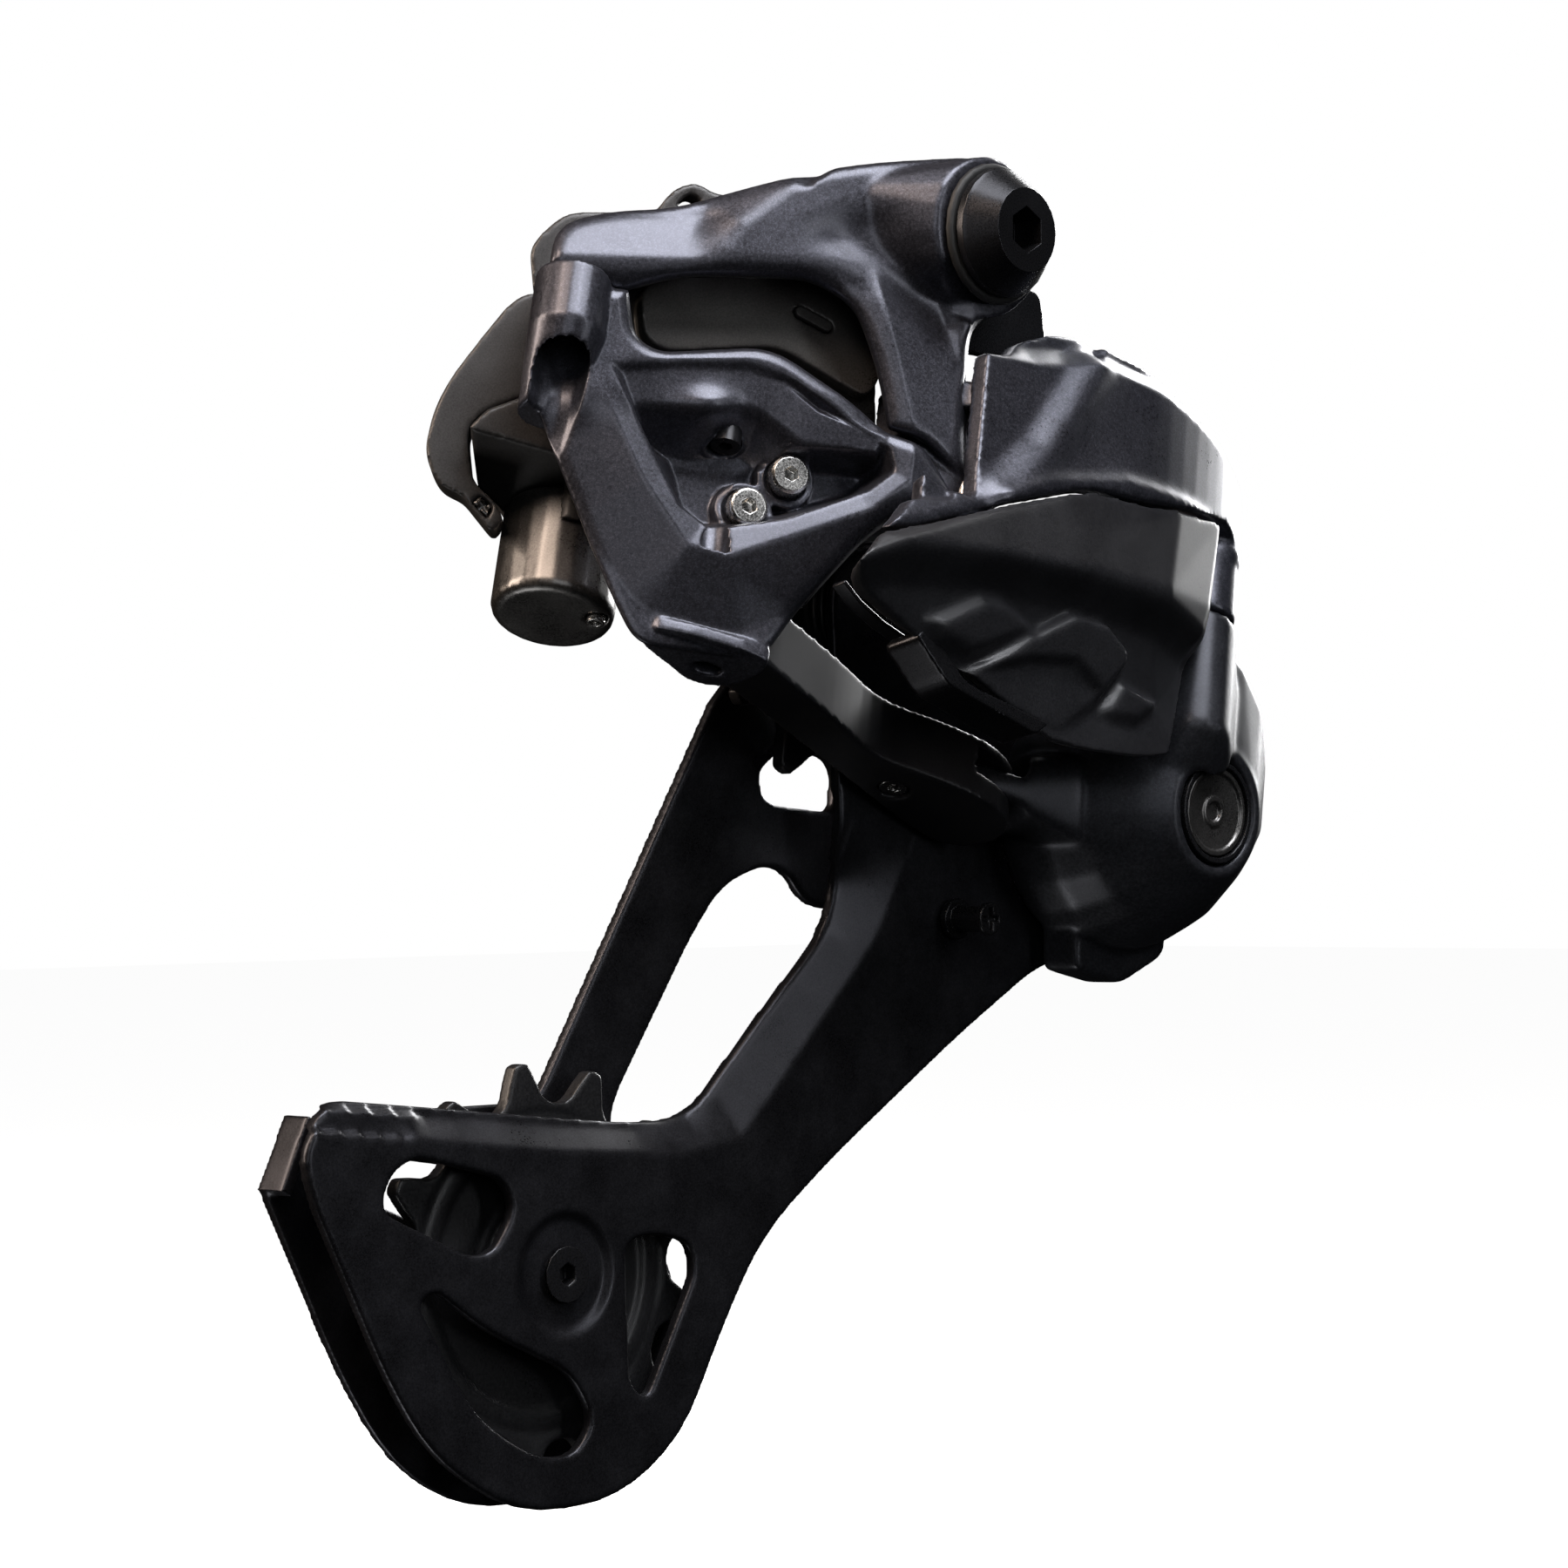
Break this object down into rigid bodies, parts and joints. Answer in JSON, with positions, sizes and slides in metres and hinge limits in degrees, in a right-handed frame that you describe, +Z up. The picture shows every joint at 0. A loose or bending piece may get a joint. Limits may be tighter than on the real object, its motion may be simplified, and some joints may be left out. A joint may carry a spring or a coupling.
{
  "type": "rear bicycle derailleur",
  "caption": "Long-cage wireless rear bicycle derailleur: hanger bolt, bracket with motor unit, two swinging links with battery housing, sprung cage and two toothed pulleys.",
  "frame": {"origin": "where the hanger bolt axis meets the outer face of the hanger", "axes": "+X towards the front of the bicycle, +Y inboard towards the wheel along the hanger bolt, +Z up"},
  "size_m": [0.168, 0.0724, 0.1839],
  "materials": {
    "paint": "dark metallic paint",
    "plastic": "satin",
    "dark": "satin black",
    "anodised": "black anodised",
    "plate": "black anodised",
    "steel": "bright",
    "pulley": "matt",
    "rubber": "matt",
    "brass": "plain bearing",
    "satin": "satin"
  },
  "bodies": {
    "hanger": {"hanger_bolt": "anodised", "hanger_bolt_washer": "rubber", "hanger_bush": "brass", "stop_plate": "dark"},
    "b_knuckle": {"upper_bracket": "paint", "lower_bracket": "paint", "motor_unit_case": "plastic", "inner_cover": "plastic", "charge_port_insert": "satin", "top_cover": "plastic", "gear_housing": "plastic", "motor_can": "satin", "motor_can_screw": "steel", "dome_screw": "dark", "outer_link_near_pin": "steel", "inner_link_near_pin": "steel"},
    "function_button": {"function_button": "plastic"},
    "limit_screw_near": {"limit_screw_near": "steel"},
    "limit_screw_far": {"limit_screw_far": "steel"},
    "outer_link": {"outer_link": "paint", "battery_housing": "plastic", "battery": "dark", "contact_strip": "steel", "outer_link_far_pin": "steel"},
    "latch_lever": {"latch_lever": "plastic"},
    "inner_link": {"inner_link": "paint", "inner_link_screw": "steel", "inner_link_far_pin": "steel"},
    "p_knuckle": {"p_knuckle": "paint", "cap_ring": "dark", "p_axis_cap": "satin", "cage_spring": "steel"},
    "cage": {"outer_cage_plate": "plate", "inner_cage_plate": "plate", "stop_pin": "dark", "cage_axle": "steel", "guide_pulley_bolt": "dark", "guide_pulley_bush": "steel", "guide_pulley_outer_seal": "steel", "guide_pulley_inner_seal": "steel", "tension_pulley_bolt": "dark", "tension_pulley_bush": "steel", "tension_pulley_outer_seal": "steel", "tension_pulley_inner_seal": "steel"},
    "guide_pulley": {"guide_pulley_wheel": "pulley"},
    "tension_pulley": {"tension_pulley_wheel": "pulley"}
  },
  "joints": [
    {"name": "b_axis", "type": "hinge", "parent": "hanger", "child": "b_knuckle", "pos_m": [0, 0, 0], "axis": [0, 1, 0], "range_deg": [0, 25]},
    {"name": "button_press", "type": "slide", "parent": "b_knuckle", "child": "function_button", "axis": [0.4205, 0.8811, -0.2163], "range_m": [0, 0.0005], "stiffness_N_per_m": 400, "springref_m": -0.0005},
    {"name": "limit_screw_near_turn", "type": "hinge", "parent": "b_knuckle", "child": "limit_screw_near", "pos_m": [-0.03638, -0.00588, -0.03919], "axis": [-0.4205, -0.8811, 0.2163], "continuous": true},
    {"name": "limit_screw_far_turn", "type": "hinge", "parent": "b_knuckle", "child": "limit_screw_far", "pos_m": [-0.03017, -0.00773, -0.0347], "axis": [-0.4205, -0.8811, 0.2163], "continuous": true},
    {"name": "outer_link_swing", "type": "hinge", "parent": "b_knuckle", "child": "outer_link", "pos_m": [-0.00558, -0.01859, -0.03414], "axis": [0.4039, 0.2568, 0.8781], "range_deg": [0, 40]},
    {"name": "latch_lever_turn", "type": "hinge", "parent": "outer_link", "child": "latch_lever", "pos_m": [-0.02491, -0.02504, -0.05798], "axis": [-0.1073, 0.9665, -0.2333], "range_deg": [0, 55]},
    {"name": "inner_link_swing", "type": "hinge", "parent": "b_knuckle", "child": "inner_link", "pos_m": [-0.03953, -0.00281, -0.05389], "axis": [0.4039, 0.2568, 0.8781], "range_deg": [0, 40]},
    {"name": "p_knuckle_swing", "type": "hinge", "parent": "outer_link", "child": "p_knuckle", "pos_m": [0.04427, -0.01744, -0.05854], "axis": [0.4039, 0.2568, 0.8781], "range_deg": [-40, 0]},
    {"name": "cage_pivot", "type": "hinge", "parent": "p_knuckle", "child": "cage", "pos_m": [0.0432, 0, -0.0805], "axis": [0, 1, 0], "range_deg": [-75, 0], "stiffness_Nm_per_rad": 0.25, "springref_deg": 91.67},
    {"name": "guide_pulley_spin", "type": "hinge", "parent": "cage", "child": "guide_pulley", "pos_m": [0.0015, 0.0103, -0.051], "axis": [0, 1, 0], "continuous": true},
    {"name": "tension_pulley_spin", "type": "hinge", "parent": "cage", "child": "tension_pulley", "pos_m": [-0.0611, 0.0103, -0.1414], "axis": [0, 1, 0], "continuous": true}
  ],
  "couplings": [
    {"joint": "inner_link_swing", "follows": "outer_link_swing", "ratio": 1},
    {"joint": "p_knuckle_swing", "follows": "outer_link_swing", "ratio": -1}
  ]
}
